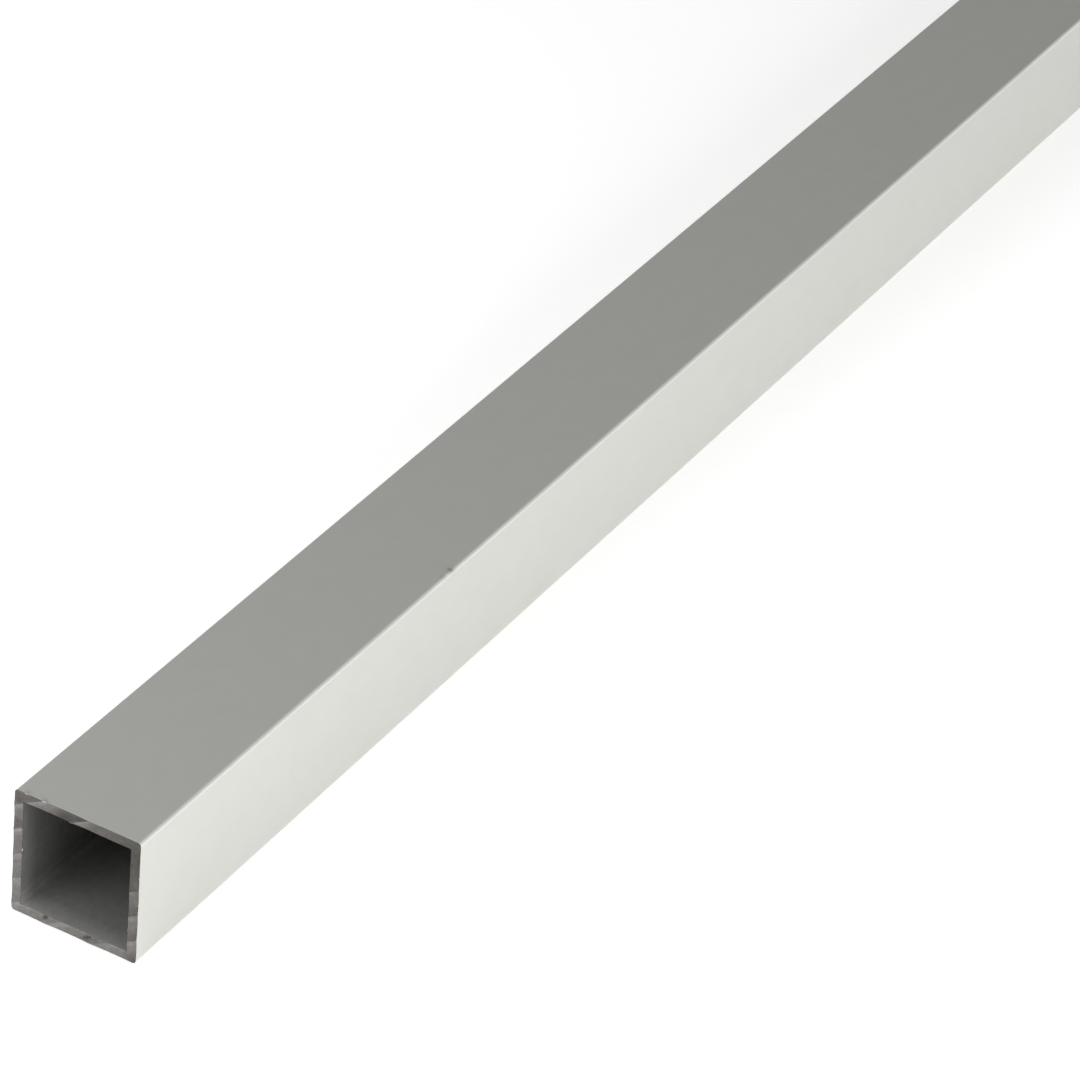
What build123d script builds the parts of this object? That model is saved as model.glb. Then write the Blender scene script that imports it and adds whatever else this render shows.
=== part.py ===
"""
Square aluminium tube, an extruded hollow section sold by the metre.

The tube is one piece of metal. Every cross-section of it is the same: a square
outside and a smaller square inside, so that all four walls are equally thick.
The die leaves a small radius on the four outer edges and in the four inner
corners. Both ends are sawn square and left as cut.

Frame, in millimetres: the tube lies along X with its middle at X = 0, and it
rests on Z = 0 with Y = 0 in the middle of its width.
"""

import os

from build123d import *

# Driving dimensions
side = 20.0  # outside width and height
wall = 1.5  # thickness of each of the four walls
stock_length = 1000.0  # as sold, end to end
outer_edge_radius = 0.5  # on the four long outer edges
inner_corner_radius = 0.2  # in the four long inner corners

# Worked out from the driving dimensions
bore_side = side - 2 * wall

# The cross-section stands across the middle of the tube, with its foot on Z = 0
section_plane = Plane(origin=(0, 0, side / 2), x_dir=(0, 1, 0), z_dir=(1, 0, 0))

with BuildPart() as square_tube:
    with BuildSketch(section_plane) as section:
        RectangleRounded(side, side, outer_edge_radius)
        RectangleRounded(bore_side, bore_side, inner_corner_radius, mode=Mode.SUBTRACT)
    extrude(amount=stock_length / 2, both=True)

square_tube.part.label = "square_tube"

os.makedirs("parts", exist_ok=True)
export_step(square_tube.part, "parts/square_tube.step")

# The metal in one cross-section sets what a metre of the tube weighs
metal_area = square_tube.part.volume / stock_length
print(f"tube {side:g} x {side:g} x {wall:g} mm, {stock_length:g} mm long")
print(f"metal in the cross-section: {metal_area:.2f} mm2")
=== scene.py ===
# %% [markdown]
# # A square aluminium tube
#
# The object is one metre of square tube, 20 mm across with walls 1.5 mm thick, the
# way a workshop buys it: aluminium pushed through a die, anodised to a satin silver
# and sawn off square at both ends. It is a single piece of metal. Its looks come
# from three finishes on one mesh, and from what the saw left on the cut ends.
#
# The engineering model of the tube is loaded first, as a fixed frame in metres.
# Everything made below has to fit it.

# %% Load the frame
import math

import bpy
from mathutils import Matrix, Vector, noise


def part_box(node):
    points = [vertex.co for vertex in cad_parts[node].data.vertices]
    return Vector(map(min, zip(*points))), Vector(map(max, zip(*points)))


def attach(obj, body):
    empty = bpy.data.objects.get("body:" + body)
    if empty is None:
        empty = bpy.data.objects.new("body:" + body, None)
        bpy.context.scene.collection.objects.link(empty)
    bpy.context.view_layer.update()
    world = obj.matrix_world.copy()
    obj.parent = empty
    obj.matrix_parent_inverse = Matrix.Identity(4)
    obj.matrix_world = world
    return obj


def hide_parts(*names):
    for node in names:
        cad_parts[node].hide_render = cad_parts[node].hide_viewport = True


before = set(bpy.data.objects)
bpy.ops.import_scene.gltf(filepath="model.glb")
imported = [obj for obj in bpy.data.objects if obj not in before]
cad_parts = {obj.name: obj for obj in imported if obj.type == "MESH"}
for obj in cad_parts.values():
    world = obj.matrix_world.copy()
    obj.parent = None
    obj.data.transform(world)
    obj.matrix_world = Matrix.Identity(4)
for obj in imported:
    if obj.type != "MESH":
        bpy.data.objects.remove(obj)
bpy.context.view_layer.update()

print("nodes in the frame:", sorted(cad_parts))

# %% [markdown]
# ## Sizes
#
# The outside of the tube is read from the frame, so that the finished piece always
# fills the same box. The wall and the two radii are the real ones of such a tube:
# the die leaves its outer edges barely rounded, and the corners of the bore too.

# %% Sizes
mm = 0.001
low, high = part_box("square_tube")
side = high.z - low.z
half_side = side / 2
wall = 1.5 * mm
bore_half = half_side - wall
outer_radius = 0.5 * mm
inner_radius = 0.2 * mm
axis_height = (low.z + high.z) / 2
print(f"tube {side / mm:.1f} mm square, {(high.x - low.x) / mm:.0f} mm long, wall {wall / mm} mm")

# %% [markdown]
# ## The section as a loop of points
#
# An extruded tube has the same section all the way along. It could be drawn as a
# curve and bevelled, but the sawn ends need their own fine relief, and a curve
# gives no say over that. So the section is made as a loop of points, by one
# function for the outside and the bore alike. Both loops have the same number of
# points, which lets the cut end be filled with rings between them.

# %% A rounded square
flat_steps = 180  # along each flat, so that a step is about 0.1 mm
arc_steps = 8  # round each corner


def rounded_square(half, radius):
    """(y, z) points round the tube's axis, starting at the foot of the +Y flat."""
    points = []
    straight = half - radius
    for quarter in range(4):
        turn = Matrix.Rotation(quarter * math.pi / 2, 2)
        for step in range(flat_steps):
            along = straight * (2 * step / flat_steps - 1)
            points.append(turn @ Vector((half, along)))
        for step in range(arc_steps):
            angle = step / arc_steps * math.pi / 2
            corner = Vector((math.cos(angle), math.sin(angle))) * radius
            points.append(turn @ (Vector((straight, straight)) + corner))
    return points


outer_loop = rounded_square(half_side, outer_radius)
bore_loop = rounded_square(bore_half, inner_radius)
print("points in a full loop:", len(outer_loop))

# %% [markdown]
# Away from the ends a flat needs only a few points. A modifier could thin out the
# mesh, but it would choose them by itself. So they are picked by number. They stand
# close together beside the corners, because smooth shading bends over the first
# strip of a flat, and a narrow strip hides that. Four more carry a die line inside
# the bore.

# %% The points that the long walls keep
beside_corner = [0, 1, 2, 3, 4, 6, 9]
die_line = [15, 16, 17, 18]  # its two feet, with its crest between them
mid_flat = [36, 63, 90, 117, 144]
before_corner = [flat_steps - n for n in reversed(beside_corner[1:])]
flat_picks = beside_corner + die_line + mid_flat + before_corner
arc_picks = [flat_steps + n for n in range(arc_steps)]
quarter_points = flat_steps + arc_steps
picks = [quarter * quarter_points + n for quarter in range(4) for n in flat_picks + arc_picks]
print("points in a sparse loop:", len(picks))

# %% [markdown]
# ## Saw marks
#
# A saw blade leaves a row of shallow hollows, because each bite takes a little more
# than the last. Here they are 3.6 mm apart and run at 29 degrees to the foot of the
# tube, rising towards its front face. A hollow meets the next one in a sharp ridge.
# One side of the ridge faces the floor and looks bright, and the other faces away
# and looks dark, which is what draws the slanting bands on the cut end.
#
# A bump map would draw bands too, but a real hollow also nicks the outline of the
# tube and catches light from every side. So the marks are cut into the mesh. They
# fade towards one top corner, where the blade came out and smeared the metal.

# %% The two cut ends, and two helpers for things that fade
facing = {"near": -1, "far": 1}  # which way along X the cut end looks
plane_x = {"near": low.x, "far": high.x}


def smooth_rise(value, start, stop):
    """0 before start, 1 after stop, and an S-curve between them."""
    t = min(max((value - start) / (stop - start), 0), 1)
    return t * t * (3 - 2 * t)


def strength(point, centre, reach):
    """1 at the centre of a spot, falling smoothly to 0 at its reach."""
    away = (Vector(point) - Vector(centre)).length
    return smooth_rise(reach - away, 0, reach)


# %% Where a point lies in the row of saw marks
mark_angle = math.radians(29)
mark_pitch = 3.585 * mm
first_mark = {"near": 0.188, "far": 0.55}  # shares of a mark at the middle of the end
wander = 0.05  # how far a mark strays from its row, as a share of its width
wander_grain = 180  # bends in a metre of noise
# The smear mask reaches far, because it also carries painted shade over the cut end
smear_and_shade_reach = 30 * mm


def mark_at(y, z, end):
    """(share of the way across its mark, place along it, place across the marks)."""
    right = y * facing[end]
    along = right * math.cos(mark_angle) + z * math.sin(mark_angle)
    across = right * math.sin(mark_angle) - z * math.cos(mark_angle)
    bend = noise.noise(Vector((along, across, plane_x[end])) * wander_grain) * wander
    share = (across / mark_pitch + first_mark[end] + bend) % 1
    return share, along, across


# The same mask darkens the colour of the sawn ends: smeared metal near the corner, and painted
# shade spread from it over the whole end
def smear_and_shade_at(y, z, end):
    """1 at the top corner where the blade came out, falling to 0 at its reach."""
    exit_corner = (facing[end] * half_side, half_side)
    return strength((y, z), exit_corner, smear_and_shade_reach)


print(f"saw marks {mark_pitch / mm:.2f} mm apart, at {math.degrees(mark_angle):.0f} degrees")

# %% How deep the saw went
mark_depth = 0.10 * mm
fading = (0.80, 0.87)  # how smeared the metal is where the marks begin and end to fade
faded_away = 0.7  # the share of its depth that a mark loses by then
tear_depth = 0.006 * mm
tear_grain = (700, 5000)  # tears in a metre, along the marks and across them


def cut_depth(y, z, end):
    """How far the saw went past the plane of the end at a point of the section."""
    share, along, across = mark_at(y, z, end)
    hollow = mark_depth * 4 * share * (1 - share)  # an arch, full depth at its middle
    flattened = 1 - faded_away * smooth_rise(smear_and_shade_at(y, z, end), *fading)
    tear_place = Vector((along * tear_grain[0], across * tear_grain[1], plane_x[end]))
    return hollow * flattened + noise.noise(tear_place) * tear_depth


print(f"the marks are up to {mark_depth / mm:.2f} mm deep")

# %% [markdown]
# ## Damage that a saw and a shelf leave
#
# Small things make the cut look real: two pits where the metal tore out of the
# bottom wall, stains, which only darken the metal, and burrs, which are flakes that
# the blade pushed over the edge and are painted near white as a painted glint. One
# more spot sits on the long edge, 78 mm from the end: a tiny knock with brown dirt
# in it. They could be sculpted by hand, but then nobody could move one later. So each
# is a spot with a centre and a reach, and one function gives its strength at any point.

# %% Spots on the cut end and on the long edge
# Each spot: (y, z above the axis, reach, depth or height), all in mm. A stain has no
# depth. Of the pits of the near end, the first two make one and the other four the
# second, which is a longer tear.
pits = {
    "near": [
        (4.55, -9.0, 0.55, 0.16), (4.25, -8.75, 0.4, 0.06),
        (-1.8, -9.35, 0.4, 0.05), (-2.15, -9.2, 0.45, 0.08),
        (-2.5, -9.0, 0.45, 0.08), (-2.8, -8.85, 0.4, 0.05),
    ],
    "far": [(6.1, -9.2, 0.4, 0.12)],
}
stains = {
    "near": [
        (2.2, 9.3, 2.0, 0), (-9.6, -9.3, 1.4, 0), (9.4, 5.0, 1.2, 0),
        (9.6, 9.4, 2.0, 0), (-9.3, 6.5, 6.0, 0),
    ],
    "far": [(-3.0, 9.2, 2.0, 0), (9.3, -4.0, 1.5, 0)],
}
outer_burrs = {
    "near": [
        (8.1, 10, 0.5, 0.10), (5.2, 10, 0.6, 0.12),
        (-10, 4.2, 0.35, 0.12), (-10, -0.2, 0.25, 0.05),
    ],
    "far": [(3.0, 10, 0.5, 0.08), (10, 2.0, 0.4, 0.08), (-10, -6, 0.4, 0.06)],
}
bore_burrs = {
    "near": [(8.5, 0.6, 0.35, 0.12), (-8.5, -5.0, 0.3, 0.05), (1.0, 8.5, 0.3, 0.05)],
    "far": [(8.5, 4.0, 0.3, 0.08), (-8.5, 3.2, 0.3, 0.06)],
}


def spots_at(y, z, spots):
    """The summed size of the spots at a point of the section, and their strength."""
    size = 0
    most = 0
    for spot_y, spot_z, reach, amount in spots:
        here = strength((y, z), (spot_y * mm, spot_z * mm), reach * mm)
        size += here * amount * mm
        most = max(most, here)
    return size, most


knock_from_end = 78.4 * mm
knock_y = -9.55 * mm
knock = Vector((low.x + knock_from_end, knock_y, half_side))
print("knock at", [round(value / mm, 2) for value in knock], "mm from the middle of the tube")

# %% [markdown]
# ## Rings
#
# The tube is skinned ring by ring, like a sock pulled inside out: along the
# outside, over the far cut, back through the bore and over the near cut to where it
# began. Cutting a bore out of a bar with a boolean would be shorter, but it leaves
# long thin faces on the cuts, with no points to press a saw mark into. Each ring
# knows its points and the finish of the strip that follows it, and each point
# carries what the shaders need, such as its place in a saw mark.

# %% Helpers that make rings
edge_break = 0.08 * mm  # the rub that takes the sharpness off a sawn edge
end_rings = 15  # across the thickness of the wall, so that a step is 0.1 mm
burr_lean = 0.5  # a burr also stands out past the cut, by this share of its height
rings = []


def wall_ring(x, loop, finish, picked=True):
    """A ring of the long walls, outside or in the bore."""
    kept = [loop[n] for n in picks] if picked else loop
    points = [Vector((x, p.x, p.y)) for p in kept]
    rings.append({"points": points, "finish": finish, "told": [{} for p in points]})


def cut_news(y, z, end):
    """What every point of a sawn end tells its shader."""
    share, along, across = mark_at(y, z, end)
    stained = spots_at(y, z, stains[end])[1]
    return {
        "share": share,
        "along": along,
        "across": across,
        "stained": stained,
        "smear_and_shade": smear_and_shade_at(y, z, end),
    }


def cut_ring(end, share, finish):
    """A ring of a cut end, from its outer edge at share 0 to the bore at share 1."""
    outside = rounded_square(half_side - edge_break, outer_radius - edge_break)
    inside = rounded_square(bore_half + edge_break, inner_radius + edge_break)
    points = []
    told = []
    for a, b in zip(outside, inside):
        p = a.lerp(b, share)
        pit, pitted = spots_at(p.x, p.y, pits[end])
        depth = cut_depth(p.x, p.y, end) + pit
        points.append(Vector((plane_x[end] - facing[end] * depth, p.x, p.y)))
        told.append({**cut_news(p.x, p.y, end), "pitted": pitted})
    rings.append({"points": points, "finish": finish, "told": told})


def lip_ring(end, loop, burrs, outward, finish):
    """The ring where a cut end meets a long wall, with its burrs pushed over the edge."""
    points = []
    told = []
    for p in loop:
        height, burr_and_glint = spots_at(p.x, p.y, burrs[end])
        depth = cut_depth(p.x, p.y, end) + edge_break
        away = p.normalized() * outward * height
        x = plane_x[end] - facing[end] * (depth - burr_lean * height)
        points.append(Vector((x, p.x + away.x, p.y + away.y)))
        told.append({**cut_news(p.x, p.y, end), "burr_and_glint": burr_and_glint, "painted_rim_shade": 1})
    rings.append({"points": points, "finish": finish, "told": told})


# %% The stations along the tube
end_strip = 0.35 * mm  # a fine strip beside each cut, which carries the burrs
end_plain = 1.2 * mm  # where the sparse rings begin
station_gap = 20 * mm
stations = []
station = low.x + end_plain
while station < high.x - end_plain:
    stations.append(station)
    station += station_gap
stations.append(high.x - end_plain)
print("rings along the bore:", len(stations))

# %% Finer stations round the knock
knock_zone = (-3.4 * mm, 1.6 * mm)  # from the knock, to either side
fine_gap = 0.12 * mm
clearance = 1 * mm  # no plain ring stands closer to the fine ones
fine_count = round((knock_zone[1] - knock_zone[0]) / fine_gap)
knock_stations = [knock.x + knock_zone[0] + n * fine_gap for n in range(fine_count + 1)]
fine_start = knock_stations[0] - clearance
fine_stop = knock_stations[-1] + clearance
clear_stations = [x for x in stations if not fine_start < x < fine_stop]
outside_stations = sorted(clear_stations + knock_stations)
print("rings along the outside:", len(outside_stations))

# %% Lay the rings, all the way round
def cut_end(end, inwards):
    """The rings of a cut end, from the outside to the bore or the other way."""
    shares = [n / end_rings for n in range(end_rings + 1)]
    for share in shares if inwards else reversed(shares):
        cut_ring(end, share, "sawn end")


lip_ring("near", outer_loop, outer_burrs, 1, "anodised face")
wall_ring(low.x + end_strip, outer_loop, "anodised face", picked=False)
for x in outside_stations:
    wall_ring(x, outer_loop, "anodised face")
wall_ring(high.x - end_strip, outer_loop, "anodised face", picked=False)
lip_ring("far", outer_loop, outer_burrs, 1, "sawn end")
cut_end("far", inwards=True)
lip_ring("far", bore_loop, bore_burrs, -1, "bore")
wall_ring(high.x - end_strip, bore_loop, "bore", picked=False)
for x in reversed(stations):
    wall_ring(x, bore_loop, "bore")
wall_ring(low.x + end_strip, bore_loop, "bore", picked=False)
lip_ring("near", bore_loop, bore_burrs, -1, "sawn end")
cut_end("near", inwards=False)
print("rings in all:", len(rings))

# %% [markdown]
# The knock is pressed into the points, and the die line raised on them, before the
# skin is made. The die line is a hair-thin ridge along the back wall of the bore,
# where the die that shaped the hollow was scratched. Below it, down to the corner,
# the metal is painted a little brighter, a painted light where wall and corner would
# lie in shade. Each point also learns how close it is to the line along a long outer
# edge that is rubbed and painted with a highlight, and to the knock. A painted mask
# could say the same, but it would be a picture to keep beside the script.

# %% Find the rubbed, highlighted edges and the strip of painted light
# The line rubbed along each long edge also carries a painted highlight in the colour of the faces
rub_and_highlight_line = (half_side, half_side - 0.15 * mm)
rub_and_highlight_reach = 0.6 * mm
# Painted light: the back wall of the bore from the die line down, and the foot corner, are painted
# lighter where they would lie in shade
painted_light_top = -6.7 * mm
on_the_wall = 0.1 * mm  # a point closer than this to the back wall lies on it
foot_corner = (bore_half, -bore_half)
foot_reach = 1.6 * mm
foot_light_gain = 0.75
for ring in rings:
    for p, news in zip(ring["points"], ring["told"]):
        news["arris"] = strength((abs(p.y), abs(p.z)), rub_and_highlight_line, rub_and_highlight_reach)
        below_line = abs(p.y - bore_half) < on_the_wall and p.z < painted_light_top
        at_foot = strength((p.y, p.z), foot_corner, foot_reach)
        news["painted_light"] = below_line + foot_light_gain * at_foot
print(f"burnished strip {(painted_light_top + bore_half) / mm:.1f} mm wide")

# %% Press in the knock and spread its dirt
knock_depth = 0.05 * mm
knock_reach = 0.65 * mm
halo_reach = 1.5 * mm
trail = knock - Vector((2.3 * mm, 0, 0))  # where some of the dirt was dragged
trail_reach = 0.8 * mm
dirt_in_knock = 0.45
dirt_in_halo = 0.15
dirt_in_trail = 0.15
into_tube = Vector((0, 1, -1)).normalized()  # slantwise from the edge
for ring in rings:
    for p, news in zip(ring["points"], ring["told"]):
        pressed = strength(p, knock, knock_reach)
        halo = strength(p, knock, halo_reach)
        trailing = strength(p, trail, trail_reach)
        news["grime"] = dirt_in_knock * pressed + dirt_in_halo * halo + dirt_in_trail * trailing
        p += into_tube * knock_depth * pressed
print("points with dirt:", sum(news["grime"] > 0 for ring in rings for news in ring["told"]))

# %% Raise the die line
die_line_height = 0.05 * mm
# The crest of the die line is also painted brighter, as a painted highlight
die_line_highlight = 0.4
die_line_crest = [picks.index(n) for n in die_line[1:3]]
for ring in rings:
    if ring["finish"] == "bore" and len(ring["points"]) == len(picks):
        for n in die_line_crest:
            ring["points"][n].y -= die_line_height
            ring["told"][n]["painted_light"] += die_line_highlight
print(f"die line {die_line_height / mm:.2f} mm high")

# %% [markdown]
# ## The skin
#
# Blender can bridge two loops of edges by itself, but it doesn't tell which face it
# made for which finish. So the faces are written down here. Two rings of equal count
# are joined by quads. Where a full ring meets a sparse one, a face takes in all the
# small steps of the full ring between two picked points. The result is closed, with
# no stray edges, so it prints and bakes cleanly.

# %% Join the rings
verts = []
faces = []
face_finish = []
firsts = []
for ring in rings:
    firsts.append(len(verts))
    verts += [(p.x, p.y, p.z + axis_height) for p in ring["points"]]

loop_size = len(outer_loop)
for n, ring in enumerate(rings):
    after = (n + 1) % len(rings)
    a = firsts[n]
    b = firsts[after]
    here = len(ring["points"])
    there = len(rings[after]["points"])
    if here == there:
        for i in range(here):
            j = (i + 1) % here
            faces.append((a + i, a + j, b + j, b + i))
            face_finish.append(ring["finish"])
    else:
        for i in range(len(picks)):
            j = (i + 1) % len(picks)
            last = picks[j] if j else loop_size
            steps = [k % loop_size for k in range(picks[i], last + 1)]
            if here == loop_size:
                faces.append([a + k for k in steps] + [b + j, b + i])
            else:
                faces.append([a + i, a + j] + [b + k for k in reversed(steps)])
            face_finish.append(ring["finish"])

mesh = bpy.data.meshes.new("square_tube_finished")
mesh.from_pydata(verts, [], faces)
mesh.validate()
print(f"{len(mesh.vertices)} points, {len(mesh.polygons)} faces")

# %% Tell the shaders where they are
def point_values(name, kind, values):
    """Stores one value for each point, which an Attribute node can read."""
    layer = mesh.attributes.new(name, kind, "POINT")
    key = "vector" if kind == "FLOAT_VECTOR" else "value"
    layer.data.foreach_set(key, values)


news_of_points = [news for ring in rings for news in ring["told"]]
cut_words = ("share", "stained", "smear_and_shade", "pitted", "burr_and_glint", "painted_rim_shade")
wall_words = ("grime", "arris", "painted_light")
for name in cut_words + wall_words:
    point_values(name, "FLOAT", [news.get(name, 0) for news in news_of_points])
mark_places = []
for news in news_of_points:
    mark_places += [news.get("along", 0), news.get("across", 0), 0]
point_values("mark_place", "FLOAT_VECTOR", mark_places)
print("told to the shaders:", ", ".join(cut_words + wall_words), "and mark_place")

# %% [markdown]
# Smooth shading makes the small corner arcs look round. It has to stop at the sawn
# edges, so edges that turn by more than 30 degrees are marked sharp.

# %% Shade the mesh and place it
sharp_turn = math.radians(30)
mesh.polygons.foreach_set("use_smooth", [True] * len(mesh.polygons))
mesh.set_sharp_from_angle(angle=sharp_turn)
tube = bpy.data.objects.new("square_tube_finished", mesh)
bpy.context.scene.collection.objects.link(tube)
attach(tube, "root")
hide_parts("square_tube")
print("the finished tube stands for node square_tube")

# %% [markdown]
# ## Finishes
#
# All three finishes are bare or nearly bare metal, so each is one Principled shader
# that is metallic for the most part. What differs is the colour, how rough it is, and
# the grain. Photographs of metal could be wrapped round the tube, but noise made by
# nodes has no seam and no limit of resolution. A few helpers keep the node trees
# short to write. Each works on its owner, a material or the world, and gives back a
# pair, a node and the name of its output, which can be handed to the next helper.

# %% Helpers for node trees
def new_finish(name):
    """A material and its Principled shader, set to metal."""
    material = bpy.data.materials.new(name)
    material.use_nodes = True
    shader = material.node_tree.nodes["Principled BSDF"]
    shader.inputs["Metallic"].default_value = 1.0
    return material, shader


def feed(owner, node, inputs):
    """Fills the inputs of a node: a pair is linked, anything else is set as it is."""
    for socket, source in inputs.items():
        if isinstance(source, tuple) and isinstance(source[0], bpy.types.Node):
            feeding_node, output = source
            owner.node_tree.links.new(feeding_node.outputs[output], node.inputs[socket])
        else:
            node.inputs[socket].default_value = source


def add_node(owner, kind, inputs=None, **settings):
    """A new node with its settings and inputs."""
    node = owner.node_tree.nodes.new(kind)
    for key, value in settings.items():
        setattr(node, key, value)
    feed(owner, node, inputs or {})
    return node


# %% Helpers that read a place or make a noise
def news_of(owner, name, output="Fac"):
    """What the mesh tells the shader under that name."""
    return add_node(owner, "ShaderNodeAttribute", attribute_name=name), output


def own_place(owner):
    """A point's place in the object, in metres."""
    return add_node(owner, "ShaderNodeTexCoord"), "Object"


def part_of(owner, vector, axis):
    """The X, Y or Z of a vector."""
    return add_node(owner, "ShaderNodeSeparateXYZ", {"Vector": vector}), axis


def grain(owner, scale, stretch=(1, 1, 1), detail=2.0, place=None):
    """A noise with about that many blotches in a metre."""
    vector = place or own_place(owner)
    moved = add_node(owner, "ShaderNodeMapping", {"Vector": vector, "Scale": stretch})
    inputs = {"Vector": (moved, "Vector"), "Scale": scale, "Detail": detail}
    return add_node(owner, "ShaderNodeTexNoise", inputs), "Fac"


# %% Helpers that work with numbers and colours
def spread(owner, value, lowest, highest, start=0.3, stop=0.7):
    """Spreads a value over a range. Noise stays near 0.5, hence the usual start and stop."""
    inputs = {
        "Value": value,
        "From Min": start,
        "From Max": stop,
        "To Min": lowest,
        "To Max": highest,
    }
    return add_node(owner, "ShaderNodeMapRange", inputs), "Result"


def combine(owner, first, second, operation="MULTIPLY"):
    """Multiplies two numbers, or adds them and so on."""
    inputs = {0: first, 1: second}
    return add_node(owner, "ShaderNodeMath", inputs, operation=operation), "Value"


def tint(owner, colour, factor):
    """A colour times a number."""
    inputs = {0: colour, "Scale": factor}
    return add_node(owner, "ShaderNodeVectorMath", inputs, operation="SCALE"), "Vector"


# A Mix node has a set of sockets for each kind of value, so they are told by number
def mix_colours(owner, factor, first, second):
    """A colour between two others, for a factor from 0 to 1."""
    inputs = {0: factor, 6: first, 7: second}
    return add_node(owner, "ShaderNodeMix", inputs, data_type="RGBA"), 2


def mix_numbers(owner, factor, first, second):
    """A number between two others, for a factor from 0 to 1."""
    inputs = {0: factor, 2: first, 3: second}
    return add_node(owner, "ShaderNodeMix", inputs, data_type="FLOAT"), 0


def relief(owner, height, amount, distance):
    """Bends the shading as if a noise stood out from the surface."""
    inputs = {"Height": height, "Strength": amount, "Distance": distance}
    return add_node(owner, "ShaderNodeBump", inputs), "Normal"


# %% [markdown]
# ### The anodised faces
#
# Before anodising, the tube is etched in caustic, which eats a fine even grain into
# the metal and turns it satin. The oxide on top is clear and very thin. So the
# faces are metal with a middling roughness and a thin clear coat. The grain is a
# tenth of a millimetre, the mottling a few millimetres, and faint lines from the
# die run the whole length. Each moves the colour by a percent or so, no more. The
# long edges are rubbed smoother and carry a painted highlight, which paints them
# brighter, both more in some places than in others. The dirt in the knock is brown.

# %% The grains of the anodised faces
anodised, face_shader = new_finish("satin_anodised_face")
etch_grain = 9000  # blotches in a metre
mottle_grain = 260
patch_grain = 45
die_streaks = (2.5, 900, 900)  # long along the tube and fine across it

mottle = grain(anodised, mottle_grain, detail=3)
streak = grain(anodised, 1, stretch=die_streaks)
etch = grain(anodised, etch_grain, detail=1)
patches = grain(anodised, patch_grain, detail=3)
# The rub smooths the long edges, and a painted highlight brightens their colour, in patches
rub_and_highlight = combine(anodised, news_of(anodised, "arris"), spread(anodised, patches, 0.5, 1))

# %% Satin anodised aluminium
silver = (0.665, 0.667, 0.632)
dirt_brown = (0.28, 0.165, 0.085, 1)
# Painted highlight: how much brighter the colour of a fully rubbed edge is than the face
painted_ridge_highlight = 1.3  # a fully rubbed edge against the face, in colour
rub_smoothing = 0.75  # and in roughness
etch_depth = 0.01 * mm

shade = spread(anodised, mottle, 0.99, 1.01)
shade = combine(anodised, shade, spread(anodised, streak, 0.992, 1.008))
shade = combine(anodised, shade, spread(anodised, etch, 0.985, 1.015))
shade = combine(anodised, shade, spread(anodised, rub_and_highlight, 1.0, painted_ridge_highlight, 0, 1))
clean = tint(anodised, silver, shade)
smoothed = spread(anodised, rub_and_highlight, 1.0, rub_smoothing, 0, 1)
feed(anodised, face_shader, {
    "Base Color": mix_colours(anodised, news_of(anodised, "grime"), clean, dirt_brown),
    "Roughness": combine(anodised, spread(anodised, etch, 0.39, 0.45), smoothed),
    "Normal": relief(anodised, etch, 0.25, etch_depth),
    "Coat Weight": 0.12,
    "Coat Roughness": 0.3,
    "Coat IOR": 1.6,
})
print("silver of the faces:", silver)

# %% [markdown]
# ### The sawn ends
#
# The saw cuts through the anodised skin, so the ends are bare metal, torn and warm
# grey, and painted darker as shade on the end face. Each mark has a bright crest
# just past its ridge, a painted highlight, and a plain part after it, painted darker
# towards one side of the end. It ends in a ragged dark wedge of painted shade on the
# slope before the next ridge, and the wedges are deepest near the corner where the
# blade came out. In that corner the blade rubbed more than it cut, so the metal is
# smeared and the marks fade, and painted shade darkens the end towards it.
#
# The mesh knows where all of that is, so the shader only has to turn each piece of
# news into a factor and multiply them. The product is a plain grey value. A second
# look at it picks the tone, because the dark parts are a little browner. Painting
# the bands by hand would be freer, but they could then slip off the ridges.

# %% The grains of the sawn ends
sawn, sawn_shader = new_finish("bare_sawn_end")
scratch_grain = (350, 6000, 1)  # along the marks, across them, and into the metal
streak_grain = (160, 1900, 1)
blotch_grain = 1500

mark_place = news_of(sawn, "mark_place", "Vector")
scratches = grain(sawn, 1, stretch=scratch_grain, detail=3, place=mark_place)
streaks = grain(sawn, 1, stretch=streak_grain, detail=2, place=mark_place)
blotches = grain(sawn, blotch_grain, detail=4)

# %% Light and dark across a saw mark
# A fall is given by two shares of the way across a mark: where it begins and ends
# Painted light and shade: the crest is a painted highlight just past each ridge, the plain part is
# painted darker towards one side of the end, and the wedge is painted shade on the slope before
# the next ridge
crest_highlight_grey = 1.12
crest_fall = (0.08, 0.32)
plain_shade_greys = (0.78, 0.93)  # at the two sides of the tube
plain_reach = 8 * mm
wedge_shade_greys = (0.9, 0.64)  # where the metal is little and much smeared
little_and_much = (0.1, 0.6)
wedge_fall = (0.42, 0.8)
raggedness = 0.12
faded_grey = 0.75

mark_share = news_of(sawn, "share")
smear_and_shade = news_of(sawn, "smear_and_shade")
plain_shade = spread(sawn, part_of(sawn, mark_place, "Y"), *plain_shade_greys, -plain_reach, plain_reach)
crest_highlight = spread(sawn, mark_share, crest_highlight_grey, plain_shade, *crest_fall)
torn_share = combine(sawn, mark_share, spread(sawn, streaks, -raggedness, raggedness), "ADD")
wedge_shade_bottom = spread(sawn, smear_and_shade, *wedge_shade_greys, *little_and_much)
wedge_shade = spread(sawn, torn_share, 1.0, wedge_shade_bottom, *wedge_fall)
flat_part = spread(sawn, smear_and_shade, 0, 1, *fading)
band_light_and_shade = mix_numbers(sawn, flat_part, combine(sawn, crest_highlight, wedge_shade), faded_grey)
print(f"a mark is plain from {crest_fall[1]:.0%} to {wedge_fall[0]:.0%} of the way across it")

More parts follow.
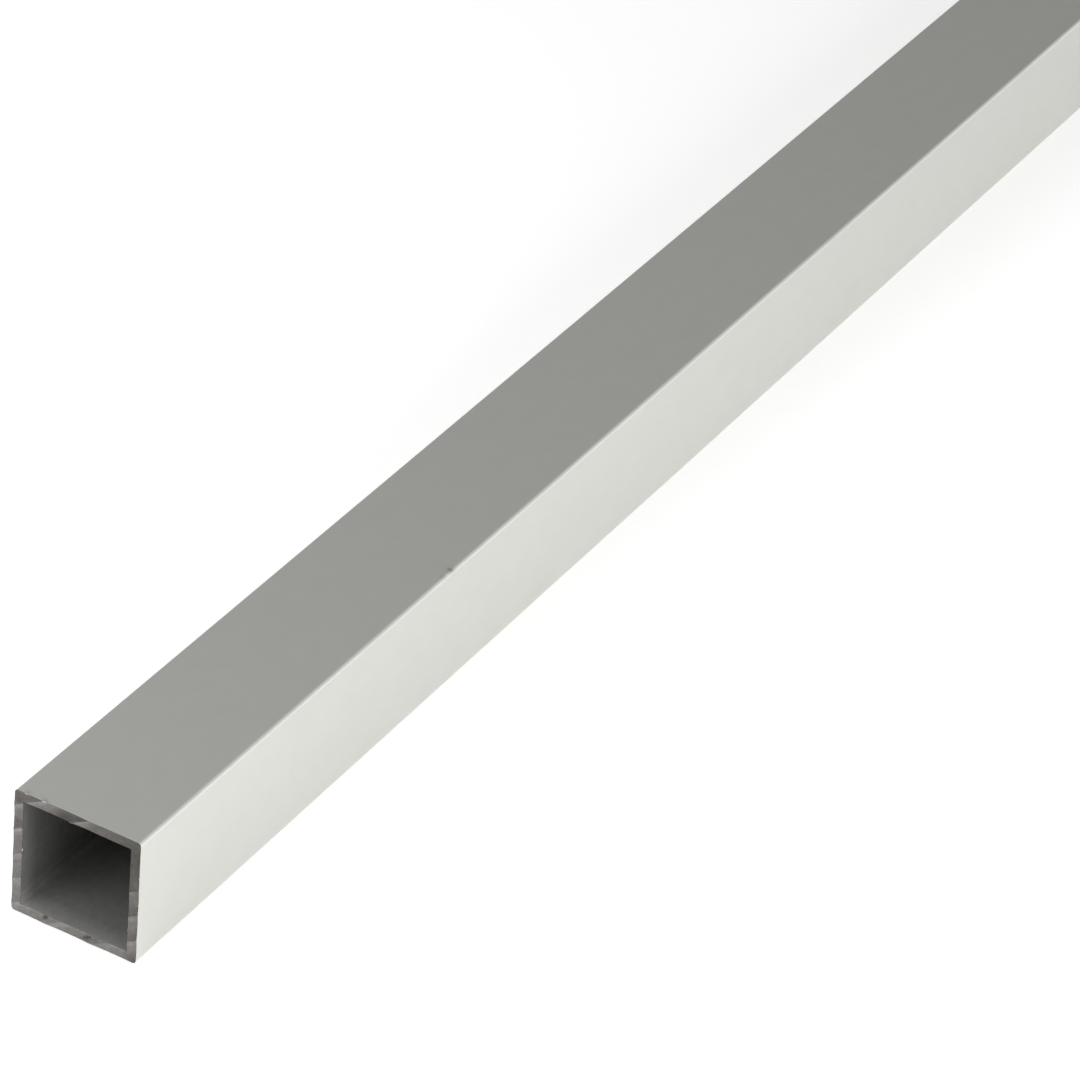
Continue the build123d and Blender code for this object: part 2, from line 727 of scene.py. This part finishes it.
# %% One grey value for the sawn metal
# What each piece of news does to the grey: its factor where there is none and all of it
news_factors = {
    # The smear mask: smeared metal, and painted shade darkening the end towards the exit corner
    "smear_and_shade": (1.12, 0.68),
    "stained": (1.0, 0.72),
    "pitted": (1.0, 0.4),
    # Painted shade: the bevel at each sawn edge is painted darker, to hold back the light it
    # catches
    "painted_rim_shade": (1.0, 0.3),
}
# The same for each grain: its factor where the noise is low and high
grain_factors = [(streaks, 0.9, 1.1), (scratches, 0.92, 1.08), (blotches, 0.86, 1.14)]

grey = band_light_and_shade
for name, (none, all_of_it) in news_factors.items():
    grey = combine(sawn, grey, spread(sawn, news_of(sawn, name), none, all_of_it, 0, 1))
for noise_value, dark, light in grain_factors:
    grey = combine(sawn, grey, spread(sawn, noise_value, dark, light))
print("factors in the grey of the sawn ends:", len(news_factors) + len(grain_factors))

# %% Bare sawn aluminium
# The bare metal is far darker than aluminium: partly its torn, rough surface, and partly painted
# shade on the end face
bright_metal = (0.242, 0.235, 0.228, 1)
dark_metal = (0.250, 0.237, 0.220, 1)
# Painted glint: the burrs are painted near white, so that they shine on the dark cut
burr_glint_metal = (0.8, 0.79, 0.77, 1)
tone_ends = (0.5, 1.1)  # greys at which the metal is all dark and all bright
scratch_depth = 0.02 * mm
burr_smoothing = 0.6

burr_and_glint = news_of(sawn, "burr_and_glint")
tone = mix_colours(sawn, spread(sawn, grey, 0, 1, *tone_ends), dark_metal, bright_metal)
smoothed = spread(sawn, burr_and_glint, 1.0, burr_smoothing, 0, 1)
feed(sawn, sawn_shader, {
    "Base Color": mix_colours(sawn, burr_and_glint, tint(sawn, tone, grey), burr_glint_metal),
    "Roughness": combine(sawn, spread(sawn, scratches, 0.42, 0.6), smoothed),
    "Normal": relief(sawn, scratches, 0.5, scratch_depth),
})
print("bare metal of the cuts:", bright_metal[:3])

# %% [markdown]
# ### The bore
#
# The inside is anodised as well, but the bath hardly moves in there, which leaves a
# duller, milky skin. So the bore is only half metallic and rougher, and it darkens
# fast from the mouth inwards, as a chalky surface does. In the last few millimetres
# at each mouth the skin is painted lighter, a painted light where light falls in. So
# is the strip between the die line and the corner. A colour ramp along the tube could
# draw the whole darkening, but it would be wrong as soon as the light changed.

# %% Light and dark in the bore
bore, bore_shader = new_finish("dull_anodised_bore")
# Painted light: the bore is painted lighter in the last few millimetres at each mouth, where light
# falls in
mouth_reach = 3.5 * mm
mouth_light_greys = (0.92, 1.42)  # deep inside, and at the very mouth
# Painted light: the strip below the die line and the foot corner are painted lighter
painted_light_gain = 1.8
full_painted_light = 2.4

off_middle = combine(bore, part_of(bore, own_place(bore), "X"), 0, "ABSOLUTE")
mouth = spread(bore, off_middle, *mouth_light_greys, high.x - mouth_reach, high.x)
painted_light = spread(bore, news_of(bore, "painted_light"), 1.0, painted_light_gain, 0, full_painted_light)
print(f"the mouth reaches {mouth_reach / mm:.1f} mm in")

# %% Dull anodised bore
dull_silver = (0.25, 0.25, 0.244)
bore_mottle_grain = 900
bore_streaks = (4, 1300, 1300)
bore_etch_grain = 7000
bore_etch_depth = 0.015 * mm

bore_mottle = spread(bore, grain(bore, bore_mottle_grain, detail=3), 0.94, 1.06)
bore_streak = spread(bore, grain(bore, 1, stretch=bore_streaks), 0.98, 1.02)
bore_etch = grain(bore, bore_etch_grain, detail=1)
grained = combine(bore, bore_mottle, bore_streak)
shade = combine(bore, grained, combine(bore, mouth, painted_light))
feed(bore, bore_shader, {
    "Base Color": tint(bore, dull_silver, shade),
    "Metallic": 0.5,
    "Roughness": spread(bore, bore_etch, 0.55, 0.65),
    "Normal": relief(bore, bore_etch, 0.35, bore_etch_depth),
})
print("silver of the bore:", dull_silver)

# %% Give each face its finish
slots = {"anodised face": anodised, "sawn end": sawn, "bore": bore}
for material in slots.values():
    mesh.materials.append(material)
order = list(slots)
mesh.polygons.foreach_set("material_index", [order.index(name) for name in face_finish])
print("faces by finish:", {name: face_finish.count(name) for name in order})

# %% [markdown]
# ## Floor, lamps and world
#
# The tube lies on a plain white floor. The floor is large, so that it fills the
# picture from any side. A metal shows what is around it, so the studio is built
# for its reflections: a pale floor for the front face to mirror, a pale wall all
# round, and a darker curtain in it, low behind the tube, for the top face. The wall
# is dim behind the cut end. A photographed room would light the tube as well, but
# nothing in it could be moved. Three soft lamps, overhead, in front and to the left,
# do the rest. They stand near the cut, so the light falls off along the tube.

# %% Floor
floor_half = 40.0
floor_mesh = bpy.data.meshes.new("studio_floor")
corner_signs = [(-1, -1), (1, -1), (1, 1), (-1, 1)]
corners = [(x * floor_half, y * floor_half, low.z) for x, y in corner_signs]
floor_mesh.from_pydata(corners, [], [(0, 1, 2, 3)])
floor = bpy.data.objects.new("studio_floor", floor_mesh)
bpy.context.scene.collection.objects.link(floor)

# %% White paper for the floor
# It is matt, so it keeps the tube's shadow, and glows a little where it is looked at
paper_white = (0.9, 0.9, 0.9, 1)
paper_glow = 0.33
paper = bpy.data.materials.new("white_paper")
paper.use_nodes = True
paper.node_tree.nodes.remove(paper.node_tree.nodes["Principled BSDF"])
matt = add_node(paper, "ShaderNodeBsdfDiffuse", {"Color": paper_white})
path = add_node(paper, "ShaderNodeLightPath")
seen = combine(paper, (path, "Is Camera Ray"), (path, "Is Glossy Ray"), "ADD")
seen = combine(paper, seen, (path, "Is Transmission Ray"), "ADD")
glow = add_node(paper, "ShaderNodeEmission", {"Strength": combine(paper, seen, paper_glow)})
both = add_node(paper, "ShaderNodeAddShader", {0: (matt, "BSDF"), 1: (glow, "Emission")})
feed(paper, paper.node_tree.nodes["Material Output"], {"Surface": (both, "Shader")})
floor_mesh.materials.append(paper)
print("floor:", 2 * floor_half, "m across")

# %% Lamps
def softbox(name, place, aim, width, depth, brightness):
    """An area lamp whose own face has that brightness, where 1 is white."""
    lamp = bpy.data.lights.new(name, "AREA")
    lamp.shape = "RECTANGLE"
    lamp.size = width
    lamp.size_y = depth
    lamp.energy = brightness * math.pi * width * depth
    box = bpy.data.objects.new(name, lamp)
    box.location = place
    box.rotation_euler = (Vector(aim) - Vector(place)).to_track_quat("-Z", "Y").to_euler()
    box.visible_camera = False
    bpy.context.scene.collection.objects.link(box)
    print(f"{name}: {lamp.energy:.2f} W")


softbox(
    "overhead_softbox", place=(low.x - 0.5, 0.19, 0.54), aim=(low.x - 0.5, 0.19, 0),
    width=0.74, depth=0.74, brightness=2.26,
)
softbox(
    "front_softbox", place=(low.x - 0.05, -0.7, 0.35), aim=(low.x + 0.05, 0, 0.01),
    width=0.7, depth=0.5, brightness=2.32,
)
softbox(
    "left_softbox", place=(low.x - 0.7, 0.45, 0.45), aim=(low.x, 0, 0.01),
    width=0.5, depth=0.5, brightness=2.12,
)

# %% Where the curtain hangs in the wall
curtain_azimuth = math.radians(14)
curtain_elevation = math.radians(9)
curtain_rim = math.cos(math.radians(45))  # the curtain begins this far from its middle
curtain_full = math.cos(math.radians(14))  # and is at its darkest from here on
curtain_way = (
    math.cos(curtain_azimuth) * math.cos(curtain_elevation),
    math.sin(curtain_azimuth) * math.cos(curtain_elevation),
    math.sin(curtain_elevation),
)
print("the curtain's middle lies along", [round(value, 3) for value in curtain_way])

# %% World
wall_light = (0.69, 0.69, 0.69, 1)
curtain_light = (0.193, 0.197, 0.184, 1)
dim_light = 0.2  # a share of the wall's own light, behind the cut end
dimming = (-0.35, 0.15)  # from and to this X of the way looked in

world = bpy.data.worlds.new("studio_wall")
bpy.context.scene.world = world
world.use_nodes = True
way = (add_node(world, "ShaderNodeTexCoord"), "Generated")
turned = add_node(world, "ShaderNodeVectorMath", {0: way, 1: curtain_way}, operation="DOT_PRODUCT")
curtain = spread(world, (turned, "Value"), 0, 1, curtain_rim, curtain_full)
room = spread(world, part_of(world, way, "X"), dim_light, 1, *dimming)
for soft_edge in (curtain, room):
    soft_edge[0].interpolation_type = "SMOOTHSTEP"
feed(world, world.node_tree.nodes["Background"], {
    "Color": mix_colours(world, curtain, wall_light, curtain_light),
    "Strength": room,
})
print("light of the wall and the curtain:", wall_light[0], curtain_light[0])

# %% [markdown]
# ## Camera
#
# The picture was taken with a long lens from the left, looking down on the cut end.
# A camera can be made to track a target, but then its roll is left to Blender. So it
# is placed by its angles round the tube, a roll and a distance, and it looks at a
# point beside the cut, so that the tube runs across the picture.

# %% Camera
view_azimuth = math.radians(-62.58)
view_elevation = math.radians(34.027)
view_roll = math.radians(5.528)
view_distance = 0.69934
look_right = 0.061255  # from the middle of the cut to the middle of the picture
look_up = 0.044394
cut_middle = Vector((low.x, 0, axis_height))

back = Vector((
    math.sin(view_azimuth) * math.cos(view_elevation),
    -math.cos(view_azimuth) * math.cos(view_elevation),
    math.sin(view_elevation),
))
level_right = Vector((math.cos(view_azimuth), math.sin(view_azimuth), 0))
level_up = back.cross(level_right)
right = level_right * math.cos(view_roll) + level_up * math.sin(view_roll)
up = level_up * math.cos(view_roll) - level_right * math.sin(view_roll)
aim = cut_middle + right * look_right + up * look_up

lens = bpy.data.cameras.new("long_lens")
lens.lens = 177.05
lens.sensor_width = 36
lens.clip_start = 0.01
lens.clip_end = 200
camera = bpy.data.objects.new("long_lens", lens)
axes = Matrix((right, up, back)).transposed()
camera.matrix_world = Matrix.Translation(aim + back * view_distance) @ axes.to_4x4()
bpy.context.scene.collection.objects.link(camera)
bpy.context.scene.camera = camera
bpy.context.scene.view_settings.view_transform = "Standard"
print("camera at", [round(value, 4) for value in camera.location])
